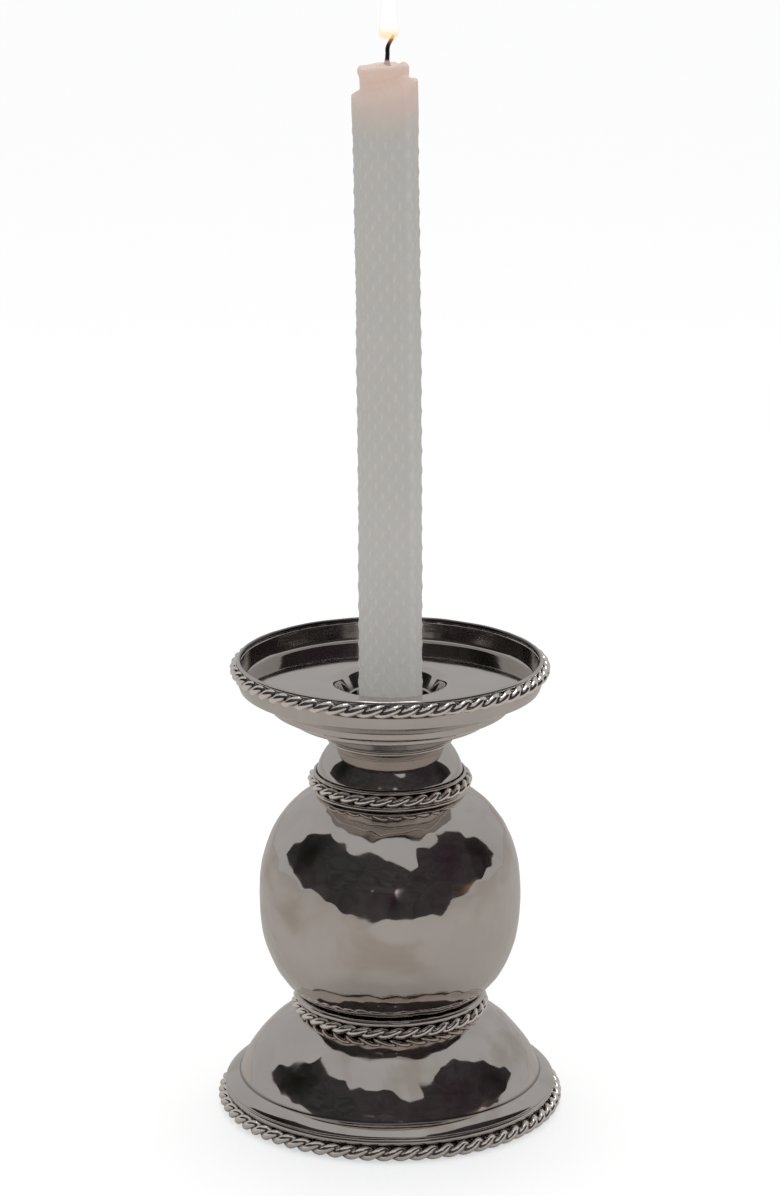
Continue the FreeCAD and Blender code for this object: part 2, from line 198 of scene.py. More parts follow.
def arc(start, end, bend, step=0.5):
    """Points from start, without end, on a circle of radius |bend|, its centre left for a positive bend."""
    start, end = np.array(start, float), np.array(end, float)
    span = end - start
    half = np.linalg.norm(span) / 2
    side = np.array([-span[1], span[0]]) / (2 * half)
    centre = (start + end) / 2 + side * math.copysign(math.sqrt(max(bend ** 2 - half ** 2, 0)), bend)
    first = math.atan2(*(start - centre)[::-1])
    sweep = 2 * math.asin(min(half / abs(bend), 1)) * math.copysign(1, bend)
    count = max(2, round(abs(sweep * bend) / step))
    angle = first + sweep * np.arange(count) / count
    return centre + abs(bend) * np.column_stack([np.cos(angle), np.sin(angle)])


def oval(middle, reach, height, first, last, power=2.0, step=0.6):
    """Superellipse |r/reach|^power + |(z-middle)/height|^power = 1, from height z=first up to z=last."""
    angle = np.linspace(-math.pi / 2, math.pi / 2, 4001)
    radius = reach * np.abs(np.cos(angle)) ** (2 / power)
    rise = middle + height * np.sign(np.sin(angle)) * np.abs(np.sin(angle)) ** (2 / power)
    kept = (rise >= first) & (rise <= last) if first < last else (rise >= last) & (rise <= first)
    points = np.column_stack([radius, rise])[kept]
    if first > last:
        points = points[::-1]
    along = np.concatenate([[0], np.cumsum(np.linalg.norm(np.diff(points, axis=0), axis=1))])
    places = np.linspace(0, along[-1], max(2, round(along[-1] / step)), endpoint=False)
    return np.column_stack([np.interp(places, along, points[:, k]) for k in (0, 1)])


def path(corners, step=0.6):
    """Points along corners (radius, height[, bend of the next side]), without the last corner."""
    sides = []
    for corner, following in zip(corners, corners[1:]):
        if len(corner) == 3:
            sides.append(arc(corner[:2], following[:2], corner[2], step))
        else:
            sides.append(line(corner, following[:2], step))
    return np.vstack(sides)


def outline(corners, step=0.6):
    """Closed outline through corners."""
    return path(corners + corners[:1], step)


def arc_lengths(points):
    """Distance along a closed outline to each point, and last the whole way round."""
    closed = np.vstack([points, points[:1]])
    return np.concatenate([[0], np.cumsum(np.linalg.norm(np.diff(closed, axis=0), axis=1))])


def soften(points, radius):
    """Round the corners of a closed outline: its Gaussian average over arc length, by Fourier transform."""
    lengths = arc_lengths(points)
    closed = np.vstack([points, points[:1]])
    count = int(lengths[-1] / (radius * 0.3))
    even = np.linspace(0, lengths[-1], count, endpoint=False)
    fine = np.column_stack([np.interp(even, lengths, closed[:, k]) for k in (0, 1)])
    blur = np.exp(-2 * (math.pi * np.fft.rfftfreq(count, lengths[-1] / count) * radius) ** 2)
    smooth = np.fft.irfft(np.fft.rfft(fine, axis=0) * blur[:, None], count, axis=0)
    even = np.append(even, lengths[-1])
    return np.column_stack(
        [np.interp(lengths[:-1], even, np.append(smooth[:, k], smooth[0, k])) for k in (0, 1)]
    )


# ---------------------------------------------------------------- surfaces


def waves(round_angle, along, scale, seed, count=10):
    """Smooth seeded unevenness from -1 to 1: a sum of sine waves with whole numbers of waves per turn."""
    draw = np.random.default_rng(seed)
    total = np.zeros(np.broadcast(round_angle, along).shape)
    for _ in range(count):
        turns = draw.integers(1, scale + 1)
        climb = draw.uniform(-1, 1) * scale / 40
        total += np.sin(turns * round_angle + climb * along + draw.uniform(0, TURN))
    return total / count ** 0.5 / 1.6


class Turned:
    """An outline carried round the Z axis: rows follow the outline, columns the angle."""

    def __init__(self, points, around):
        area = np.sum(points[:, 0] * np.roll(points[:, 1], -1) - np.roll(points[:, 0], -1) * points[:, 1])
        self.points = points if area > 0 else points[::-1]
        self.along = arc_lengths(self.points)[:-1]
        tangent = np.roll(self.points, -1, axis=0) - np.roll(self.points, 1, axis=0)
        tangent /= np.linalg.norm(tangent, axis=1)[:, None]
        self.normal = np.column_stack([tangent[:, 1], -tangent[:, 0]])
        self.angle = TURN * np.arange(around) / around

    def grid(self, lift=0.0):
        """Points (r cos a, r sin a, z) in millimetres, moved along the outline's normal by lift."""
        lift = np.broadcast_to(lift, (len(self.points), len(self.angle)))
        radius = self.points[:, :1] + self.normal[:, :1] * lift
        rise = self.points[:, 1:] + self.normal[:, 1:] * lift
        return np.stack([radius * np.cos(self.angle), radius * np.sin(self.angle), rise], axis=-1)


def hammered(turned, spacing, seed, jitter=0.9, blend=5.0):
    """Bowl-shaped blows: the squared distance to the nearest blow, in spacings, softly joined at its ridges.

    Blows stand in staggered rows along the outline, each moved at random within its cell. For every point
    the blows of the neighbouring cells are compared as whole arrays, and the least distance is found as
    -log(sum(exp(-blend d^2))) / blend."""
    draw = np.random.default_rng(seed)
    rows = int(turned.along[-1] / spacing) + 2
    row_middle = (np.arange(rows) + 0.5) * spacing
    row_radius = np.interp(row_middle, turned.along, turned.points[:, 0])
    row_count = np.maximum(3, np.round(TURN * row_radius / spacing).astype(int))
    moves = draw.uniform(-0.5, 0.5, (rows, row_count.max(), 2)) * jitter
    sizes = draw.uniform(0.82, 1.2, (rows, row_count.max()))
    grid = turned.grid()
    home_row = (turned.along / spacing).astype(int)
    total = np.zeros(grid.shape[:2])
    for row_step in (-1, 0, 1):
        row = np.clip(home_row + row_step, 0, rows - 1)
        count = row_count[row][:, None]
        place = turned.angle[None, :] / TURN * count + 0.5 * (row[:, None] % 2)
        for column_step in (-1, 0, 1):
            cell = np.floor(place).astype(int) + column_step
            column = cell % count
            move = moves[row[:, None], column]
            size = sizes[row[:, None], column]
            angle = (cell + 0.5 + move[..., 0] - 0.5 * (row[:, None] % 2)) / count * TURN
            along = (row[:, None] + 0.5 + move[..., 1]) * spacing
            radius = np.interp(along, turned.along, turned.points[:, 0])
            rise = np.interp(along, turned.along, turned.points[:, 1])
            blow = np.stack([radius * np.cos(angle), radius * np.sin(angle), rise], axis=-1)
            distance = np.sum((grid - blow) ** 2, axis=-1) / (spacing * size) ** 2
            total += np.exp(-blend * distance)
    return -np.log(total + 1e-9) / blend


def smooth_step(low, high, value):
    """0 below low, 1 above high, and 3t^2 - 2t^3 between them."""
    share = np.clip((value - low) / (high - low), 0, 1)
    return share * share * (3 - 2 * share)


def make_piece(name, grid, close_rows=True, start_pole=None, end_pole=None, painted_shading=None):
    """A mesh object from a grid of points in millimetres: columns always join up, rows when close_rows.

    A pole is one more point that a fan of triangles joins to the first or the last row. painted_shading, from
    0 to
    1 at each point, is the painted shade (on the candle, painted highlight and shade) that the material mixes
    into its colour. Faces are turned to point out by the sign of the volume that they enclose."""
    rows, columns = grid.shape[:2]
    points = grid.reshape(-1, 3)
    index = np.arange(rows * columns).reshape(rows, columns)
    above = np.roll(index, -1, axis=0) if close_rows else index[1:]
    here = index if close_rows else index[:-1]
    quads = np.stack([here, np.roll(here, -1, axis=1), np.roll(above, -1, axis=1), above], axis=-1)
    quads = quads.reshape(-1, 4)
    fans = []
    for pole, ring, turn_round in ((start_pole, index[0], True), (end_pole, index[-1], False)):
        if pole is not None:
            tip = np.full(columns, len(points))
            points = np.vstack([points, pole])
            fan = np.column_stack([ring, np.roll(ring, -1), tip])
            fans.append(fan[:, ::-1] if turn_round else fan)
    triangles = np.vstack(fans) if fans else np.zeros((0, 3), int)
    halves = np.vstack([quads[:, [0, 1, 2]], quads[:, [0, 2, 3]], triangles])
    a, b, c = (points[halves[:, k]] for k in range(3))
    if np.sum(a * np.cross(b, c)) < 0:
        quads, triangles = quads[:, ::-1], triangles[:, ::-1]
    mesh = bpy.data.meshes.new(name)
    mesh.vertices.add(len(points))
    mesh.vertices.foreach_set("co", (points * MM).astype(np.float32).ravel())
    corners = np.concatenate([quads.ravel(), triangles.ravel()])
    starts = np.concatenate([np.arange(len(quads)) * 4, len(quads) * 4 + np.arange(len(triangles)) * 3])
    mesh.loops.add(len(corners))
    mesh.loops.foreach_set("vertex_index", corners.astype(np.int32))
    mesh.polygons.add(len(starts))
    mesh.polygons.foreach_set("loop_start", starts.astype(np.int32))
    mesh.update(calc_edges=True)
    mesh.shade_smooth()
    # The painted_shading attribute: painted shade, and on the candle painted highlight, that the materials
    # mix into the colour.
    layer = mesh.attributes.new("painted_shading", "FLOAT", "POINT")
    depth = np.zeros(len(points), np.float32)
    if painted_shading is not None:
        depth[: rows * columns] = np.clip(painted_shading, 0, 1).ravel()
    layer.data.foreach_set("value", depth)
    piece = bpy.data.objects.new(name, mesh)
    bpy.context.scene.collection.objects.link(piece)
    return piece


def fit_out(piece, body, slot, finish, *nodes):
    """Give a piece its material, the body it moves with and the CAD nodes it stands for. slot is not used."""
    piece.data.materials.clear()
    piece.data.materials.append(finish)
    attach(piece, body)
    if nodes:
        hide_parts(*nodes)
    return piece


def ring_sizes(node):
    """Outer radius, lowest and highest Z of a turned node, in millimetres."""
    low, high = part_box(node)
    return high.x / MM, low.z / MM, high.z / MM


# ---------------------------------------------------------------- materials


class Amount:
    """A shader number. Python arithmetic on it adds Math nodes."""

    def __init__(self, finish, socket):
        self.finish = finish
        self.socket = socket

    def math(self, operation, first, second=0.0):
        node = self.finish.add("ShaderNodeMath", {"operation": operation}, {0: first, 1: second})
        return Amount(self.finish, node.outputs[0])

    def __add__(self, other):
        return self.math("ADD", self, other)

    __radd__ = __add__

    def __mul__(self, other):
        return self.math("MULTIPLY", self, other)

    __rmul__ = __mul__

    def __sub__(self, other):
        return self.math("SUBTRACT", self, other)

    def __rsub__(self, other):
        return self.math("SUBTRACT", other, self)

    def above(self, low, high):
        """0 where this is under low, 1 where it is over high, smooth between."""
        settings = {"interpolation_type": "SMOOTHSTEP"}
        inputs = {"Value": self, "From Min": low, "From Max": high}
        return Amount(self.finish, self.finish.add("ShaderNodeMapRange", settings, inputs).outputs["Result"])


class Finish:
    """A node material: add() makes any node, and the methods make the patterns that finishes share."""

    def __init__(self, name):
        self.material = bpy.data.materials.new(name)
        self.material.use_nodes = True
        self.tree = self.material.node_tree
        self.tree.nodes.clear()
        self.output = self.tree.nodes.new("ShaderNodeOutputMaterial")

    def add(self, kind, settings=None, inputs=None):
        node = self.tree.nodes.new(kind)
        for name, value in (settings or {}).items():
            setattr(node, name, value)
        for name, value in (inputs or {}).items():
            socket = node.inputs[name]
            if isinstance(value, Amount):
                self.tree.links.new(value.socket, socket)
            elif isinstance(value, bpy.types.NodeSocket):
                self.tree.links.new(value, socket)
            else:
                socket.default_value = value
        return node

    def place(self):
        """The point on the object, in metres."""
        return self.add("ShaderNodeTexCoord").outputs["Object"]

    def stretch(self, scale):
        return self.add("ShaderNodeMapping", None, {"Vector": self.place(), "Scale": scale}).outputs[0]

    def noise(self, scale, detail=3.0, vector=None, distortion=0.0):
        inputs = {
            "Vector": vector or self.place(), "Scale": scale, "Detail": detail, "Distortion": distortion,
        }
        return Amount(self, self.add("ShaderNodeTexNoise", None, inputs).outputs["Fac"])

    def attribute(self, name):
        return Amount(self, self.add("ShaderNodeAttribute", {"attribute_name": name}).outputs["Fac"])

    def height(self):
        """Z on the object, in millimetres."""
        return Amount(self, self.add("ShaderNodeSeparateXYZ", None, {0: self.place()}).outputs["Z"]) * 1000.0

    def mix(self, share, first, second):
        """Colour between two colours or colour sockets."""
        colours = [c if isinstance(c, bpy.types.NodeSocket) else (*c, 1) for c in (first, second)]
        node = self.add("ShaderNodeMix", {"data_type": "RGBA"}, {0: share})
        for socket, colour in zip([s for s in node.inputs if s.type == "RGBA"], colours):
            if isinstance(colour, tuple):
                socket.default_value = colour
            else:
                self.tree.links.new(colour, socket)
        return next(s for s in node.outputs if s.type == "RGBA")

    def bump(self, height, distance, strength=1.0):
        inputs = {"Height": height, "Distance": distance, "Strength": strength}
        return self.add("ShaderNodeBump", None, inputs).outputs[0]

    def surface(self, **inputs):
        """End in a Principled shader; an underscore in a name stands for a space."""
        named = {name.replace("_", " "): value for name, value in inputs.items()}
        shader = self.add("ShaderNodeBsdfPrincipled", None, named)
        self.tree.links.new(shader.outputs[0], self.output.inputs["Surface"])
        return self.material


def silver_finish(name, colour, shade_and_tarnish, roughness, ripple=0.0, stain=0.0):
    """Polished silver: faint smears and brown stains, fine hand scratches, and painted shade with some dark
    tarnish in the grooves and hollows.
    """
    finish = Finish(name)
    groove_shade_and_tarnish = finish.attribute("painted_shading")
    smears = finish.noise(55.0, 4.0, distortion=0.6)
    scratches = finish.noise(260.0, 2.0, vector=finish.stretch((1.0, 1.0, 7.0)))
    swell = finish.noise(70.0, 1.0)
    patchy = smears.above(0.35, 0.75)
    clean = finish.mix(patchy, tuple(c * 0.93 for c in colour), colour)
    stains = finish.noise(24.0, 4.0, distortion=1.2).above(0.50, 0.68)
    clean = finish.mix(stains * stain, clean, (0.44, 0.36, 0.29))
    # Painted shade and tarnish: painted_shading mixes the near-black colour into grooves, hollows and hidden
    # rings for the shade that falls there, and for some tarnish.
    shade = finish.mix(groove_shade_and_tarnish * (0.75 + 0.25 * smears), clean, shade_and_tarnish)
    height = swell * ripple + scratches * 0.02
    return finish.surface(
        Base_Color=shade,
        Metallic=1.0,
        Roughness=roughness * (0.75 + 0.6 * patchy) + groove_shade_and_tarnish * 0.12,
        Normal=finish.bump(height, 0.0004, 0.35),
    )


def steel_finish():
    """Plain turned steel, drawn fine along the axis."""
    finish = Finish("turned_steel")
    drawn = finish.noise(900.0, 2.0, vector=finish.stretch((1.0, 1.0, 0.08)))
    shade = finish.mix(drawn, (0.34, 0.34, 0.35), (0.52, 0.52, 0.53))
    return finish.surface(
        Base_Color=shade, Metallic=1.0, Roughness=0.28 + 0.2 * drawn, Normal=finish.bump(drawn, 0.0002, 0.3)
    )


def felt_finish():
    """Dark felt: matted fibres at two sizes."""
    finish = Finish("dark_felt")
    clumps = finish.noise(900.0, 3.0, distortion=1.5)
    fibres = finish.noise(4200.0, 2.0, distortion=2.5)
    shade = finish.mix(fibres, (0.018, 0.030, 0.022), (0.055, 0.080, 0.062))
    return finish.surface(
        Base_Color=shade, Roughness=0.95, Sheen_Weight=0.4, Normal=finish.bump(clumps + fibres, 0.0005, 0.8)
    )


def wax_finish(colour, melt_and_flame_light_from, melt_and_flame_light_to):
    """Off-white wax: cloudy, with painted highlight on the cell walls and painted shade in the cells, warm
    and glassy where the flame softens it and lights it with a painted glow.

    A faint glow stands for the light that wax passes on inside itself."""
    finish = Finish("rolled_wax")
    clouds = finish.noise(60.0, 4.0, distortion=0.4)
    grain = finish.noise(650.0, 3.0)
    painted_rib_shading = finish.attribute("painted_shading")
    height = finish.height()
    # Near the crown: partly the warmer colour of softened wax, partly painted light from the flame.
    melt_and_flame_light = height.above(melt_and_flame_light_from, melt_and_flame_light_to)
    cool = tuple(c * 0.92 for c in colour)
    bloom = finish.noise(190.0, 4.0, distortion=0.8)
    cloudy = finish.mix(clouds.above(0.35, 0.7) * 0.5 + bloom.above(0.35, 0.72) * 0.5, cool, colour)
    # Painted highlight on the cell walls and along the sheet's edge, painted shade in the cells.
    rib_light_and_shade = finish.mix(painted_rib_shading, tuple(c * 0.85 for c in colour), (1.0, 1.0, 0.97))
    cloudy = finish.mix(0.65, cloudy, rib_light_and_shade)
    shade = finish.mix(melt_and_flame_light * 0.85, cloudy, (0.93, 0.76, 0.68))
    # Painted glow: the wax gives off a little light of its own, more towards the foot, and near the crown a
    # warm painted glow stands for the flame's light falling on it.
    soft = finish.mix(height.above(260.0, 125.0), (0.045, 0.045, 0.044), (0.105, 0.103, 0.102))
    glow = finish.mix(melt_and_flame_light, soft, (0.19, 0.115, 0.085))
    return finish.surface(
        Base_Color=shade,
        Roughness=0.46 + 0.16 * clouds - 0.14 * melt_and_flame_light,
        Emission_Color=glow,
        Emission_Strength=1.0,
        Subsurface_Weight=0.35,
        Subsurface_Radius=(0.006, 0.005, 0.004),
        Subsurface_Scale=1.0,
        Normal=finish.bump(grain + bloom * 1.5 + clouds, 0.0005, 0.45),
    )


def wick_finish(glow_from, glow_to):
    """Charred braid that glows orange at its tip, and is waxy and pale at its foot."""
    finish = Finish("charred_wick")
    braid = finish.noise(1800.0, 2.0, distortion=1.0)
    heat = finish.height().above(glow_from, glow_to)
    char = finish.mix(braid, (0.004, 0.003, 0.003), (0.025, 0.020, 0.017))
    char = finish.mix(finish.height().above(*WICK_WAX), char, (0.80, 0.68, 0.62))
    glow = finish.mix(heat, (0.0, 0.0, 0.0), (0.85, 0.27, 0.05))
    return finish.surface(
        Base_Color=char, Roughness=0.9, Emission_Color=glow, Emission_Strength=1.0,
        Normal=finish.bump(braid, 0.0004, 0.8),
    )


def flame_finish(name, low, high, edge, heart, strength, alpha):
    """Glowing gas: its colour climbs from edge to heart, and it thins out at its foot."""
    finish = Finish(name)
    climb = finish.height().above(low, low + 0.22 * (high - low))
    flicker = finish.noise(240.0, 1.0)
    shade = finish.mix(climb * (0.9 + 0.1 * flicker), edge, heart)
    return finish.surface(
        Base_Color=(0.0, 0.0, 0.0, 1.0), Roughness=1.0, Specular_IOR_Level=0.0,
        Emission_Color=shade, Emission_Strength=strength, Alpha=alpha * (0.35 + 0.65 * climb),
    )


def floor_finish(lift):
    """Pale matt floor. Rays straight from the camera get a little extra light, so that it reads as white."""
    finish = Finish("pale_floor")
    grain = finish.noise(30.0, 3.0)
    shade = finish.mix(grain, (0.87, 0.835, 0.80), (0.89, 0.855, 0.82))
    path = finish.add("ShaderNodeLightPath")
    straight = Amount(finish, path.outputs["Is Camera Ray"])
    matt = finish.add("ShaderNodeBsdfDiffuse", None, {"Color": shade})
    light = finish.add("ShaderNodeEmission", None, {"Color": (0.97, 1.0, 1.03, 1.0), "Strength": lift})
    both = finish.add("ShaderNodeAddShader", None, {0: matt.outputs[0], 1: light.outputs[0]})
    seen = finish.add("ShaderNodeMixShader", None, {0: straight, 1: matt.outputs[0], 2: both.outputs[0]})
    finish.tree.links.new(seen.outputs[0], finish.output.inputs["Surface"])
    return finish.material


def screen_finish():
    """Dark cloth screen: its mesh carries the tones, and fine folds vary them."""
    finish = Finish("dark_screen")
    folds = finish.noise(9.0, 5.0, distortion=1.0)
    tone = finish.add("ShaderNodeAttribute", {"attribute_name": "tone"}).outputs["Color"]
    shade = finish.mix(folds.above(0.30, 0.75) * 0.6, tone, (0.010, 0.010, 0.009))
    glow = finish.add("ShaderNodeEmission", None, {"Color": shade, "Strength": 1.0})
    finish.tree.links.new(glow.outputs[0], finish.output.inputs["Surface"])
    return finish.material


FINISHES = {}


def finishes():
    """The materials that several pieces share, made once."""
    if not FINISHES:
        silver = bpy.context.scene.candlestick.silver
        colours = tuple(silver.colour), tuple(silver.shade_and_tarnish)
        FINISHES["plain"] = silver_finish("polished_silver", *colours, silver.roughness, 0.35)
        FINISHES["hammered"] = silver_finish("hammered_silver", *colours, silver.roughness, 0.25, 0.5)
        # Painted highlight: a brighter copy of the silver for the ropes, so that their facets read as lit.
        highlit_rope_colour = tuple(min(1.0, c * silver.rope_highlight_gain) for c in colours[0])
        FINISHES["rope"] = silver_finish("highlit_rope_silver", highlit_rope_colour, colours[1], silver.roughness, 0.5)
        FINISHES["steel"] = steel_finish()
    return FINISHES


# ---------------------------------------------------------------- ropes and beads


def rope_ring(name, ring, wire, rise, ridges, fullness, waist, back=None):
    """A ring of wire rope: two strands laid round each other.

    At the angle t round the rope's section the radius is wire max(|cos(t - b)|^fullness, waist), which is
    the outline of two strands side by side, and the lay b grows by half a turn from one ridge to the next
    on the way round the ring. back is the least distance from the ring's axis that a soldered rope keeps."""
    turn = TURN * np.arange(ridges * 14)[None, :] / (ridges * 14)
    side = TURN * np.arange(40)[:, None] / 40
    facing = np.abs(np.cos(side - ridges * turn / 2))
    depth = wire * np.maximum(facing ** fullness, waist)
    depth = depth * (1 + 0.03 * waves(turn, side * 0, 9, ridges))
    across = ring + depth * np.cos(side)
    if back is not None:
        across = np.maximum(across, back)
    grid = np.stack([across * np.cos(turn), across * np.sin(turn), rise + depth * np.sin(side)], axis=-1)
    # Painted shade and tarnish in the grooves between the strands.
    return make_piece(name, grid, painted_shading=smooth_step(0.40, 0.08, facing))


def bead_wire(name, ring, wire, rise, seed, ripple=0.05):
    """A ring of round wire, drawn by hand: its section swells and shrinks slowly round the ring."""
    side = TURN * np.arange(24)[:, None] / 24
    turn = TURN * np.arange(360)[None, :] / 360
    depth = wire * (1 - ripple + ripple * waves(turn, side * 0, 40, seed))
    wander = 0.06 * waves(turn, side * 0, 24, seed + 1)
    across = ring + depth * np.cos(side)
    grid = np.stack([
        across * np.cos(turn), across * np.sin(turn), rise + wander + depth * np.sin(side),
    ], axis=-1)
    # Painted shade and tarnish on the side of the wire that faces the axis, where it lies against the part
    # under it.
    crevice_shade_and_tarnish = smooth_step(0.2, -0.9, np.cos(side)) + 0 * turn
    return make_piece(name, grid, painted_shading=crevice_shade_and_tarnish)


def ring_of(node):
    """Ring radius, wire radius and height of a wire ring, in millimetres."""
    reach, low, high = ring_sizes(node)
    wire = (high - low) / 2
    return reach - wire, wire, (high + low) / 2


# ---------------------------------------------------------------- pieces


class FootOperator(Operator):
    """Hammered dome with its flange and skirt, on a cover plate and a felt pad."""

    bl_idname = "candlestick.foot"
    bl_label = "Hammered foot"

    def execute(self, context):
        settings = context.scene.candlestick
        hammer = settings.hammer
        outer = path([
            (52.4, 2.2), (53.3, 2.2), (53.3, 7.95), (56.1, 7.95, 7.0), (51.2, FLANGE_TOP, 34.9),
            (44.8, 22.2, 44.0), (24.2, 36.0), (24.2, 35.1),
        ], 0.38)
        inner = path([
            (24.2, 35.1, -43.1), (44.17, 21.57, -34.0), (50.3, FLANGE_TOP), (52.4, 7.95), (52.4, 2.2),
        ], 2.2)
        dome = Turned(soften(np.vstack([outer, inner]), 0.16), 576)
        radius, rise = dome.points[:, :1], dome.points[:, 1:]
        outside = (dome.normal[:, :1] * radius + dome.normal[:, 1:] * rise > 0) * (rise > FLANGE_TOP)
        worked = outside * smooth_step(11.0, 13.5, rise)
        blows = hammered(dome, hammer.foot_spacing, 11)
        slow = waves(dome.angle[None, :], dome.along[:, None], 14, 12) * hammer.wander
        lift = worked * (hammer.foot_depth * (blows * BLOW_GAIN - BLOW_MEAN) + slow)
        # Painted shade and tarnish in the corner just above the flange.
        crevice_shade_and_tarnish = 0.8 * smooth_step(12.4, FLANGE_TOP, rise) * outside
        piece = make_piece("hammered_foot", dome.grid(lift), painted_shading=crevice_shade_and_tarnish + 0 * lift)
        fit_out(piece, HOLDER, "hammered_silver", finishes()["hammered"], "foot_dome")
        pad = make_pad()
        fit_out(pad, HOLDER, "felt", felt_finish(), "felt_pad")
        return {"FINISHED"}


def make_pad():
    """Felt disc: a rounded outline turned round Z, with a slightly uneven nap."""
    disc = Turned(soften(outline([(0.4, 0.02), (51.8, 0.02), (51.8, 1.15), (0.4, 1.15)], 0.4), 0.25), 240)
    nap = 0.04 * waves(disc.angle[None, :], disc.along[:, None], 40, 5)
    lift = nap * smooth_step(30.0, 51.0, disc.points[:, :1])
    return make_piece("felt_disc", disc.grid(lift))


class BallOperator(Operator):
    """The hammered ball: both raised halves, joined at the middle."""

    bl_idname = "candlestick.ball"
    bl_label = "Hammered ball"

    def execute(self, context):
        hammer = context.scene.candlestick.hammer
        outer = oval(BALL_MIDDLE, 44.12, 42.18, 36.35, 112.75, BALL_POWER, 0.62)
        inner = oval(BALL_MIDDLE, 43.2, 41.3, 112.4, 36.7, BALL_POWER, 3.4)
        ball = Turned(soften(np.vstack([outer, inner]), 0.12), 430)
        radius, rise = ball.points[:, :1], ball.points[:, 1:]
        outward = radius * ball.normal[:, :1] + (rise - BALL_SEAM) * ball.normal[:, 1:]
        outside = smooth_step(-0.2, 0.4, outward)
        blows = hammered(ball, hammer.ball_spacing, 21)
        slow = waves(ball.angle[None, :], ball.along[:, None], 12, 22) * hammer.wander * 0.7
        lift = outside * (hammer.ball_depth * (blows * BLOW_GAIN - BLOW_MEAN) + slow)
        piece = make_piece("hammered_ball", ball.grid(lift))
        hammered_silver = finishes()["hammered"]
        fit_out(piece, HOLDER, "hammered_silver", hammered_silver, "ball_lower_half", "ball_upper_half")
        return {"FINISHED"}


class RopeOperator(Operator):
    """Twisted-wire ropes round the foot, both collars and the drip pan."""

    bl_idname = "candlestick.ropes"
    bl_label = "Rope borders"

    def execute(self, context):
        rope = context.scene.candlestick.rope
        shared = rope.fullness, rope.waist
        for node, name, ridges in (
            ("foot_rope_border", "foot_rope", rope.foot_ridges),
            ("lower_collar_rope", "lower_rope", rope.low_ridges),
            ("upper_collar_rope", "upper_rope", rope.top_ridges),
        ):
            piece = rope_ring(name, *ring_of(node), ridges, *shared)
            fit_out(piece, HOLDER, "silver", finishes()["rope"], node)
        reach, low, high = ring_sizes("pan_rope_border")
        half = (high - low) / 2
        piece = rope_ring(
            "pan_rope", reach - half, half, (high + low) / 2, rope.pan_ridges, *shared, back=51.28,
        )
        fit_out(piece, HOLDER, "silver", finishes()["rope"], "pan_rope_border")
        return {"FINISHED"}


class WireOperator(Operator):
    """The plain bead wires, and the two bearing rings that they are soldered to."""

    bl_idname = "candlestick.wires"
    bl_label = "Bead wires"

    def execute(self, context):
        for seed, node in enumerate((
            "foot_bead_wire", "lower_collar_bead", "upper_collar_bottom_bead",
            "upper_collar_top_bead", "pan_lip_wire",
        )):
            piece = bead_wire(node.replace("_collar", "") + "_ring", *ring_of(node), 40 + seed)
            fit_out(piece, HOLDER, "silver", finishes()["plain"], node)
        low_corners = [(25.9, 36.1), (29.2, 34.6), (29.2, 39.0), (25.9, 36.85)]
        top_corners = [(21.2, 113.1), (23.6, 112.0), (23.6, 117.9), (21.2, 117.9)]
        for name, node, corners in (
            ("lower_bearing_ring", "lower_collar_ring", low_corners),
            ("upper_bearing_ring", "upper_collar_ring", top_corners),
        ):
            # Painted shade and tarnish, evenly over each bearing ring, which sits in among the collar's
            # wires.
            ring = Turned(soften(outline(corners, 0.3), 0.12), 240)
            piece = make_piece(name, ring.grid(), painted_shading=np.ones((len(ring.points), 240)) * 0.8)
            fit_out(piece, HOLDER, "silver", finishes()["plain"], node)
        return {"FINISHED"}


class KnopOperator(Operator):
    """The smooth knop over the ball and the beaded neck that carries the pan."""

    bl_idname = "candlestick.knop"
    bl_label = "Knop and neck"

    def execute(self, context):
        plain = finishes()["plain"]
        outer = oval(114.9, 24.82, 20.15, 118.0, 128.75, 2.0, 0.35)
        inner = oval(114.9, 23.95, 19.3, 127.9, 118.0, 2.0, 0.5)
        mouth = [[18.0, 128.8], [17.2, 128.8], [16.4, 128.75]]
        knop = Turned(soften(np.vstack([outer, mouth, inner]), 0.14), 480)
        slow = 0.05 * waves(knop.angle[None, :], knop.along[:, None], 9, 31)
        fit_out(make_piece("bell_knop", knop.grid(slow)), HOLDER, "silver", plain, "knop")
        neck = Turned(soften(outline([
            (16.4, 128.85), (20.5, 128.85, 0.8), (21.3, 129.65, 0.8), (20.5, 130.45), (20.5, 133.0),
            (22.0, 135.45), (16.4, 135.45),
        ], 0.2), 0.12), 480)
        rise = neck.points[:, 1:]
        # Painted shade and tarnish on the neck above its bead, darker still where it flares up under the pan.
        crevice_shade_and_tarnish = 0.55 * smooth_step(130.2, 130.8, rise) + 0.3 * smooth_step(133.0, 135.0, rise)
        slow = 0.03 * waves(neck.angle[None, :], neck.along[:, None], 12, 32)
        piece = make_piece("beaded_neck", neck.grid(slow), painted_shading=crevice_shade_and_tarnish + 0 * slow)
        fit_out(piece, HOLDER, "silver", plain, "pan_neck")
        return {"FINISHED"}


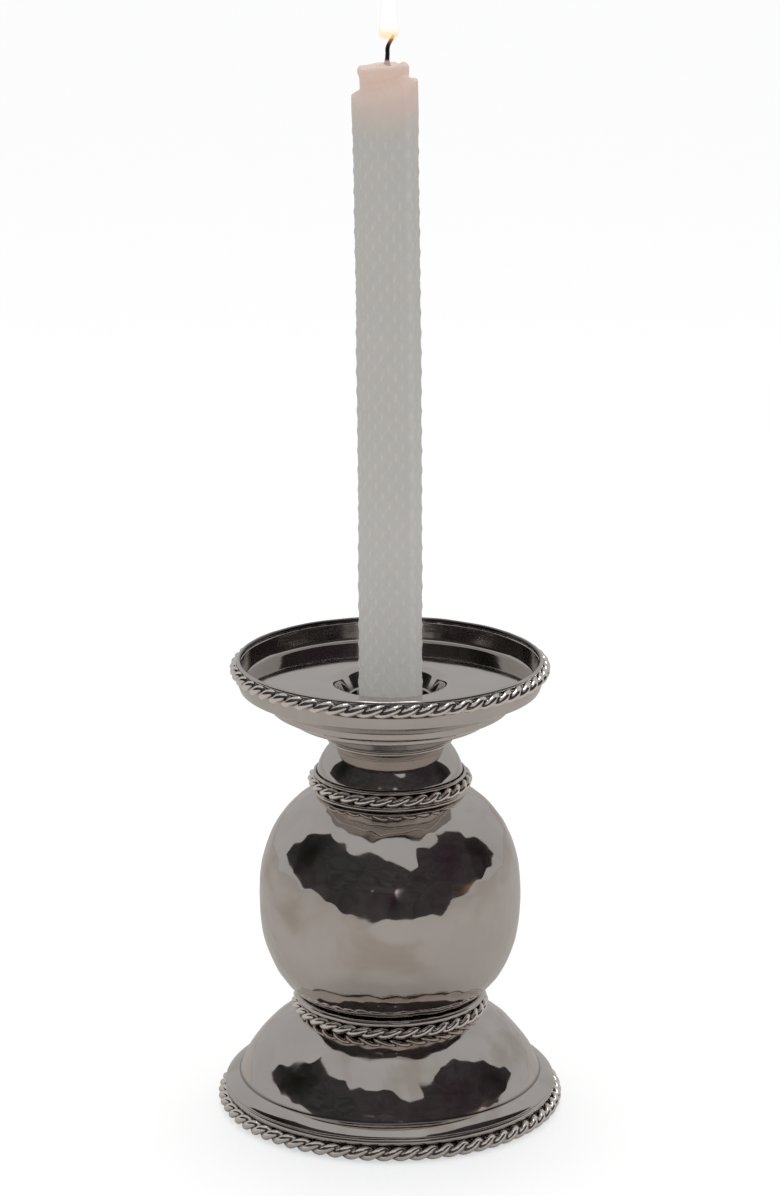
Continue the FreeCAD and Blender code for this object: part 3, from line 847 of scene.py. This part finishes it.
class PanOperator(Operator):
    """The drip pan: stepped shell below, dish above and the socket's rim in the well."""

    bl_idname = "candlestick.pan"
    bl_label = "Drip pan"

    def execute(self, context):
        plain = finishes()["plain"]
        outer = path([
            (16.4, 135.5), (22.0, 135.5), (31.9, 136.5, 1.15), (33.6, 137.9), (38.2, 139.5), (40.0, 140.5),
            (40.75, 142.75), (49.7, 147.15, 0.65), (50.3, 147.95, 8.0), (51.2, 151.3), (51.2, 154.7),
        ], 0.3)
        inner = path([
            (51.2, 154.7), (50.65, 154.7), (50.65, 151.4, -7.45), (49.8, 148.05), (49.4, 147.7),
            (40.35, 142.85), (37.7, 140.2), (33.0, 138.25), (31.9, 137.05), (22.0, 136.05), (16.4, 136.05),
            (16.4, 135.5),
        ], 1.4)
        shell = Turned(soften(np.vstack([outer, inner]), 0.14), 480)
        radius, under = shell.points[:, :1], shell.normal[:, 1:] < -0.5
        # Painted shade and tarnish on the downward faces of the ledge and of the slope below it.
        ledge = smooth_step(41.0, 42.0, radius) * smooth_step(50.2, 49.6, radius) * under
        slope = smooth_step(33.8, 34.6, radius) * smooth_step(38.0, 37.2, radius) * under
        slow = 0.045 * waves(shell.angle[None, :], shell.along[:, None], 12, 41)
        slow = slow * smooth_step(51.0, 48.0, radius)
        piece = make_piece("pan_shell", shell.grid(slow), painted_shading=0.35 * ledge + 0.45 * slope + 0 * slow)
        fit_out(piece, HOLDER, "silver", plain, "pan_under_shell")
        under_side = path([
            (14.3, 140.0), (14.95, 140.0), (14.95, 141.1), (21.02, 146.16, -9.35), (27.0, 148.35),
            (48.0, 148.35, 1.55), (49.53, 149.655), (50.45, 155.3),
        ], 1.2)
        upper_side = path([
            (50.45, 155.3), (49.8, 155.3), (48.89, 149.76, -0.9), (48.0, 149.0), (20.4, 149.0, 3.4),
            (17.6, 147.6), (14.3, 141.4), (14.3, 140.0),
        ], 0.3)
        dish = Turned(soften(np.vstack([under_side, upper_side]), 0.12), 480)
        radius, rise, inside = dish.points[:, :1], dish.points[:, 1:], dish.normal[:, 1:] > 0.1
        slow = 0.03 * waves(dish.angle[None, :], dish.along[:, None], 8, 42) * smooth_step(50.0, 44.0, radius)
        wall = (dish.normal[:, :1] < 0) * smooth_step(149.2, 150.2, rise) * smooth_step(155.2, 154.2, rise)
        slow = slow + 0.035 * wall * (hammered(dish, 6.0, 43) * 2 - 0.6)
        # Painted shade and tarnish: a little on the dish's inner wall, where it darkens the reflections, and
        # more in the well round the socket.
        crevice_shade_and_tarnish = 0.25 * wall + 0.85 * smooth_step(16.8, 15.0, radius) * inside
        piece = make_piece("pan_dish", dish.grid(slow), painted_shading=crevice_shade_and_tarnish + 0 * slow)
        fit_out(piece, HOLDER, "silver", plain, "drip_tray")
        socket = Turned(soften(outline([
            (2.6, 112.0), (6.0, 112.0), (6.0, 120.0), (12.4, 120.0), (12.4, 131.0), (14.2, 134.5),
            (14.2, 136.2), (18.5, 136.2), (18.5, 137.1), (14.2, 137.1), (14.2, 143.9), (13.2, 143.9),
            (11.4, 131.0), (11.4, 123.0), (2.6, 123.0),
        ], 0.5), 0.12), 320)
        # Painted shade and tarnish over the socket below its rim.
        inside = smooth_step(143.6, 141.0, socket.points[:, 1:])
        piece = make_piece("socket_cup", socket.grid(), painted_shading=inside * np.ones((1, 320)))
        fit_out(piece, HOLDER, "silver", plain, "candle_socket")
        return {"FINISHED"}


def lean_at(rise, lean):
    """Sideways place of the candle's middle at a height: lean ((z - 143) / 200)^2.2, and 0 below 143."""
    return lean * np.maximum((rise - 143.0) / 200.0, 0) ** 2.2


def lean_over(grid, lean):
    """Move points sideways with the candle, which settled out of true."""
    grid[..., 0] += lean_at(grid[..., 2], lean)
    return grid


def honeycomb(angle, rise, cells_round, row):
    """0 in the middle of a pressed cell and 1 on the ridges between cells: the hexagonal distance to the
    nearest centre.

    Centres stand cells_round to a turn, in rows that step half a cell sideways."""
    best = None
    across = angle / TURN * cells_round
    for shift in (0, 1):
        along = rise / (2 * row) + shift / 2
        u = (across + shift / 2) % 1 - 0.5
        v = (along % 1 - 0.5) * 2 * row / (TURN * WAX_REACH / cells_round)
        u, v = np.abs(u), np.abs(v)
        apart = np.maximum(u, u / 2 + v * 0.866)
        best = apart if best is None else np.minimum(best, apart)
    return smooth_step(0.34, 0.50, best)


def rolled_wax(settings, around=320):
    """Grid of the rolled candle, and its painted shading: painted highlight near the cell walls and along the
    sheet's outer edge, painted shade in the cells.

    The wall is a spiral: its radius shrinks evenly over one turn from the sheet's outer edge. The rim stands
    at 347.5 + 2.5 cos a. At the sides it turns in with a small round edge on to a ledge, and in front it is
    melted into one long slope, the blend of both being a smooth step of the angle. A core of radius 7.85
    stands in it and swells under its dished crown."""
    angle = TURN * np.arange(around)[None, :] / around
    since = ((angle - math.radians(-56.0)) / TURN) % 1.0
    melt = smooth_step(0.0, 0.75, -np.sin(angle + 0.12))
    rim = 347.5 + 2.5 * np.cos(angle) + 0.3 * waves(angle, angle * 0, 9, 61)
    wall_top = rim - 0.5 - 2.8 * melt
    share = np.linspace(0, 1, 236)[:, None]
    wall_rise = WALL_FOOT + (wall_top - WALL_FOOT) * share
    cells = honeycomb(angle, wall_rise, settings.cells_round, 3.3)
    pressed = smooth_step(0.0, 0.03, since) * smooth_step(1.0, 0.97, since)
    melted = smooth_step(330.0, 341.0, wall_rise)
    reach = WAX_REACH - SHEET + SHEET * (1 - since) * smooth_step(0.0, 0.018, since)
    slow = 0.12 * waves(angle, wall_rise, 7, 62)
    wall_radius = reach + slow - settings.cell_depth * (1 - cells) * pressed * (1 - melted)
    turn_in = np.linspace(0, math.pi / 2, 6)[1:, None]
    wide = (reach + slow[-1:])
    crisp_radius = np.vstack([wide - 0.5 + 0.5 * np.cos(turn_in), 9.3 + 0 * angle, 8.3 + 0 * angle])
    crisp_rise = np.vstack([rim - 0.5 + 0.5 * np.sin(turn_in), rim - 0.1, rim - 0.4])
    fall = np.linspace(0, 1, 8)[1:, None]
    soft_radius = wide + (8.1 - wide) * smooth_step(-0.15, 1.1, fall)
    soft_rise = wall_top + 6.0 * fall
    shoulder_radius = crisp_radius * (1 - melt) + soft_radius * melt
    shoulder_rise = crisp_rise * (1 - melt) + soft_rise * melt
    crown = CROWN + 0.7 * np.cos(angle + 0.5) + 0.3 * waves(angle, angle * 0, 5, 64)
    crown = crown - 0.9 * np.exp(-(((angle - 0.75) / 0.22) ** 2))
    up = np.linspace(0, 1, 22)[1:, None]
    core_rise = shoulder_rise[-1:] + (crown - CROWN_EDGE - shoulder_rise[-1:]) * up
    lip = 0.7 * np.exp(-((crown - 1.8 - core_rise) / 1.4) ** 2) * (0.6 - 0.4 * np.cos(angle))
    core_radius = CORE_REACH + 0.12 * waves(angle, angle * 0, 6, 63) + lip
    over = np.linspace(0, math.pi / 2, 8)[1:, None]
    round_radius = core_radius[-1:] - CROWN_EDGE + CROWN_EDGE * np.cos(over)
    round_rise = crown - CROWN_EDGE + CROWN_EDGE * np.sin(over)
    inward = np.linspace(1, 0.1, 13)[1:, None]
    top_rise = crown * inward + CROWN * (1 - inward)
    top_rise = top_rise - 0.9 * np.sin(inward * math.pi) + 0.5 * (1 - inward) ** 3
    radius = np.vstack([
        np.array([3.0, 7.0, 10.0])[:, None] + 0 * angle, wall_radius, shoulder_radius, core_radius,
        round_radius, round_radius[-1:] * inward,
    ])
    rise = np.vstack([
        np.full((3, around), CANDLE_FOOT), wall_rise, shoulder_rise, core_rise, round_rise, top_rise,
    ])
    painted_rib_shading = np.zeros_like(radius)
    # Painted highlight along the outer edge of the rolled sheet, in beads up its height, which the material
    # turns pale.
    edge_highlight = np.exp(-((since - 0.03) / 0.014) ** 2) * (0.25 + 0.75 * np.sin(wall_rise * TURN / 13.2) ** 6)
    painted_rib_shading[3:3 + len(wall_rise)] = 0.8 * cells * pressed * (1 - melted) + edge_highlight
    grid = np.stack([radius * np.cos(angle), radius * np.sin(angle), rise], axis=-1)
    return lean_over(grid, settings.lean), painted_rib_shading


class CandleOperator(Operator):
    """The candle of rolled honeycomb wax sheet, with its softened crown, and its charred wick."""

    bl_idname = "candlestick.candle"
    bl_label = "Candle and wick"

    def execute(self, context):
        settings = context.scene.candlestick.candle
        grid, painted_rib_shading = rolled_wax(settings)
        middle_top = lean_over(np.array([[0.0, 0.0, 355.3]]), settings.lean)
        middle_foot = [[0.0, 0.0, CANDLE_FOOT]]
        candle = make_piece(
            "rolled_candle", grid, False, start_pole=middle_foot, end_pole=middle_top, painted_shading=painted_rib_shading,
        )
        fit_out(candle, CANDLE, "wax", wax_finish(tuple(settings.colour), 330.0, 353.0), "candle")
        fit_out(self.wick(settings.lean), CANDLE, "wick", wick_finish(*WICK_GLOW), "wick")
        return {"FINISHED"}

    def wick(self, lean):
        """A round section carried up a curve, upright and then bent to the right, of three twisted yarns."""
        share = np.linspace(0, 1, 60)[:, None]
        side = TURN * np.arange(24)[None, :] / 24
        foot = lean_at(353.0, lean)
        middle_x = foot + 1.15 + 2.2 * smooth_step(0.52, 1.15, share)
        middle_z = 353.5 + 10.7 * share
        thick = 0.68 * (1 + 0.10 * np.cos(3 * side + 14 * share)) * (1 - 0.45 * smooth_step(0.84, 1.0, share))
        thick = thick * (1 + 0.45 * smooth_step(0.32, 0.12, share))
        grid = np.stack([
            middle_x + thick * np.cos(side), thick * np.sin(side) + 0 * share, middle_z + 0 * side,
        ], axis=-1)
        ends = [grid[k].mean(axis=0, keepdims=True) for k in (0, -1)]
        return make_piece("burnt_wick", grid, False, start_pole=ends[0], end_pole=ends[1])


class FlameOperator(Operator):
    """The flame: a pale heart inside a thin amber veil."""

    bl_idname = "candlestick.flame"
    bl_label = "Flame"

    def execute(self, context):
        for name, grow, low, edge, heart, strength, alpha in (
            ("flame_heart", 0.0, 362.9, (1.0, 0.60, 0.22), (1.0, 1.0, 0.97), 1.25, 0.97),
            ("flame_veil", 0.42, 362.5, (0.95, 0.42, 0.16), (0.95, 0.80, 0.58), 0.95, 0.14),
        ):
            piece = self.flame(name, grow, low)
            finish = flame_finish(name + "_glow", low, FLAME_TIP + 0.1, edge, heart, strength, alpha)
            fit_out(piece, CANDLE, "wick", finish)
        return {"FINISHED"}

    def flame(self, name, grow, low):
        """A drop turned round its own leaning axis.

        From foot to tip, s = 0 to 1, its radius is (3.0 + grow) sqrt(1 - s), times a quarter circle
        over s < 0.07."""
        share = (1 - np.cos(np.linspace(0.05, math.pi - 0.03, 90)))[:, None] / 2
        side = TURN * np.arange(64)[None, :] / 64
        foot_round = np.sqrt(1 - (1 - np.minimum(share / 0.07, 1)) ** 2)
        radius = (3.0 + grow) * foot_round * (1 - share) ** 0.5
        rise = low + (FLAME_TIP + grow * 0.4 - low) * share
        middle = -0.45 + 0.25 * share
        grid = np.stack([
            middle + radius * np.cos(side), radius * np.sin(side) * 0.9, rise + 0 * side,
        ], axis=-1)
        foot = [[-0.45, 0.0, low - 0.05]]
        tip = [[-0.2, 0.0, FLAME_TIP + 0.05 + grow * 0.4]]
        return make_piece(name, grid, False, start_pole=foot, end_pole=tip)


class HiddenPartsOperator(Operator):
    """The cover plate under the foot, and the rod, discs, washers and nut that hold the stick together."""

    bl_idname = "candlestick.hidden_parts"
    bl_label = "Rod and plates"

    def execute(self, context):
        shown = finishes()
        for node, finish in (
            ("base_cover_plate", "plain"), ("tie_rod", "steel"), ("rod_nut", "steel"),
            ("rod_lock_washer", "steel"), ("rod_washer", "steel"), ("foot_clamp_disc", "steel"),
            ("lower_centring_disc", "steel"), ("upper_centring_disc", "steel"),
        ):
            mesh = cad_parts[node].data
            mesh.materials.clear()
            mesh.materials.append(shown[finish])
        return {"FINISHED"}


class StageOperator(Operator):
    """Pale floor, room light, dark screen in front, one soft lamp overhead and the camera."""

    bl_idname = "candlestick.stage"
    bl_label = "Stage and camera"

    def execute(self, context):
        stage = context.scene.candlestick.stage
        self.room(context, stage.light)
        self.floor()
        self.screen(stage)
        self.lamps()
        self.camera(context, stage)
        context.scene.view_settings.view_transform = "Standard"
        return {"FINISHED"}

    def room(self, context, light):
        """The world: pale behind the object, and darker for everything that it lights."""
        world = bpy.data.worlds.new("pale_room")
        context.scene.world = world
        world.use_nodes = True
        tree = world.node_tree
        tree.nodes.clear()
        path = tree.nodes.new("ShaderNodeLightPath")
        tone = tree.nodes.new("ShaderNodeMapRange")
        tone.inputs["To Min"].default_value = light
        tone.inputs["To Max"].default_value = 1.0
        tree.links.new(path.outputs["Is Camera Ray"], tone.inputs["Value"])
        glow = tree.nodes.new("ShaderNodeBackground")
        tree.links.new(tone.outputs[0], glow.inputs["Strength"])
        output = tree.nodes.new("ShaderNodeOutputWorld")
        tree.links.new(glow.outputs[0], output.inputs["Surface"])

    def floor(self):
        """A flat square grid, 12 m across."""
        share = np.linspace(-6.0, 6.0, 3)
        across, deep = np.meshgrid(share, share)
        points = np.stack([across, deep, 0 * across - 0.0002], axis=-1).reshape(-1, 3)
        faces = [(k, k + 1, k + 4, k + 3) for k in (0, 1, 3, 4)]
        mesh = bpy.data.meshes.new("pale_floor")
        mesh.from_pydata(points.tolist(), [], faces)
        mesh.materials.append(floor_finish(0.58))
        floor = bpy.data.objects.new("pale_floor", mesh)
        bpy.context.scene.collection.objects.link(floor)

    def screen(self, stage):
        """A dark wall on the camera's side, over 222 degrees, that leans back as it climbs.

        Its radius grows evenly with its height, from 0.43 m at the table to 1.1 m at its top. Its lower edge
        climbs towards the sides, its upper edge has a notch, and soft round patches of other tones stand
        on it. Edges and patches are given as heights at 0.43 m from the axis, and each is carried out along
        its line from the ball's brow, 0.03 m out and 0.10 m up. Only reflections see the wall."""
        near, grow, brow_out, brow_up = 0.43, 0.67, 0.03, 0.10
        degrees = np.linspace(-111, 111, 149)[None, :]
        up = np.linspace(0, 1, 41)[:, None]
        low_edge = np.interp(
            np.abs(degrees), (0, 28, 40, 56, 74, 95, 111), (0.001, 0.001, 0.03, 0.07, 0.10, 0.14, 0.15)
        )
        high_edge = np.interp(
            degrees,
            (-111, -104, -94, -70, -11, 4, 20, 27, 33, 52, 80, 95, 104, 111),
            (0.24, 0.38, 0.56, 0.56, 0.56, 0.50, 0.36, 0.38, 0.60, 0.64, 0.72, 0.60, 0.38, 0.20),
        )
        rise = low_edge + (high_edge - low_edge) * up
        side = np.radians(degrees) + 0 * up
        far = near + grow * np.clip((rise - brow_up) / 0.35, 0, 1)
        carried = brow_up + (rise - brow_up) * (far - brow_out) / (near - brow_out)
        place_rise = np.where(rise > brow_up, carried, rise)
        grid = np.stack([far * np.sin(side), -far * np.cos(side), place_rise], axis=-1)
        tone = np.ones((*rise.shape, 4))
        tone[..., :3] = stage.screen
        for place, height, wide, tall, colour in (
            (-88, 0.32, 20, 0.20, (0.008, 0.010, 0.007)), (-50, 0.30, 22, 0.18, (0.050, 0.052, 0.050)),
            (6, 0.20, 16, 0.12, (0.075, 0.070, 0.072)), (62, 0.36, 22, 0.20, (0.045, 0.030, 0.042)),
            (96, 0.25, 12, 0.16, (0.020, 0.018, 0.018)), (70, 0.10, 6, 0.030, (0.36, 0.20, 0.12)),
            (-86, 0.10, 5, 0.030, (0.32, 0.22, 0.22)), (2, 0.10, 7, 0.05, (0.045, 0.018, 0.035)),
            (9, 0.170, 2.5, 0.018, (0.85, 0.80, 0.75)), (-16, 0.175, 2.0, 0.015, (0.45, 0.42, 0.40)),
        ):
            share = np.exp(-((degrees - place) / wide) ** 2 - ((rise - height) / tall) ** 2)[..., None]
            tone[..., :3] = tone[..., :3] * (1 - share) + np.array(colour) * share
        rows, columns = rise.shape
        index = np.arange(rows * columns).reshape(rows, columns)
        faces = np.stack([index[:-1, :-1], index[:-1, 1:], index[1:, 1:], index[1:, :-1]], axis=-1)
        mesh = bpy.data.meshes.new("dark_screen")
        mesh.from_pydata(grid.reshape(-1, 3).tolist(), [], faces.reshape(-1, 4).tolist())
        layer = mesh.attributes.new("tone", "FLOAT_COLOR", "POINT")
        layer.data.foreach_set("color", tone.astype(np.float32).ravel())
        mesh.materials.append(screen_finish())
        screen = bpy.data.objects.new("dark_screen", mesh)
        bpy.context.scene.collection.objects.link(screen)
        for ray in ("camera", "diffuse", "transmission", "volume_scatter", "shadow"):
            setattr(screen, "visible_" + ray, False)

    def lamps(self):
        """One soft square light above the object and a little behind it, turned to its middle."""
        light = bpy.data.lights.new("back_light", "AREA")
        light.size = 0.35
        light.energy = 1.6
        lamp = bpy.data.objects.new("back_light", light)
        climb, away, middle = math.radians(78), 1.2, 0.10
        lamp.location = (0, away * math.cos(climb), middle + away * math.sin(climb))
        lamp.rotation_euler = (math.pi / 2 - climb, 0, math.pi)
        lamp.visible_camera = False
        bpy.context.scene.collection.objects.link(lamp)

    def camera(self, context, stage):
        """A long lens at standing height, tilted down to the object."""
        view = bpy.data.cameras.new("standing_view")
        view.lens = stage.camera_lens
        view.sensor_width = 36.0
        view.clip_end = 50.0
        camera = bpy.data.objects.new("standing_view", view)
        camera.location = (0, -stage.camera_distance, stage.camera_height)
        camera.rotation_euler = (math.pi / 2 - stage.camera_pitch, 0, 0)
        context.scene.collection.objects.link(camera)
        context.scene.camera = camera


# ---------------------------------------------------------------- panel and start

STEPS = (
    FootOperator, BallOperator, RopeOperator, WireOperator, KnopOperator, PanOperator,
    CandleOperator, FlameOperator, HiddenPartsOperator, StageOperator,
)


class CandlestickPanel(Panel):
    """Lists the pieces in the 3D view's sidebar."""

    bl_idname = "VIEW3D_PT_candlestick"
    bl_label = "Candlestick"
    bl_space_type = "VIEW_3D"
    bl_region_type = "UI"
    bl_category = "Candlestick"

    def draw(self, context):
        settings = context.scene.candlestick
        for group in (settings.rope, settings.hammer, settings.silver, settings.candle, settings.stage):
            box = self.layout.box()
            for name in type(group).__annotations__:
                box.prop(group, name)
        for step in STEPS:
            self.layout.operator(step.bl_idname)


CLASSES = (
    RopeSettings, HammerSettings, SilverSettings, CandleSettings, StageSettings, CandlestickSettings,
    *STEPS, CandlestickPanel,
)


def register():
    for item in CLASSES:
        bpy.utils.register_class(item)
    bpy.types.Scene.candlestick = PointerProperty(type=CandlestickSettings)


def unregister():
    del bpy.types.Scene.candlestick
    for item in reversed(CLASSES):
        bpy.utils.unregister_class(item)


def main():
    register()
    for step in STEPS:
        getattr(bpy.ops.candlestick, step.bl_idname.split(".")[1])()


if __name__ == "__main__":
    main()
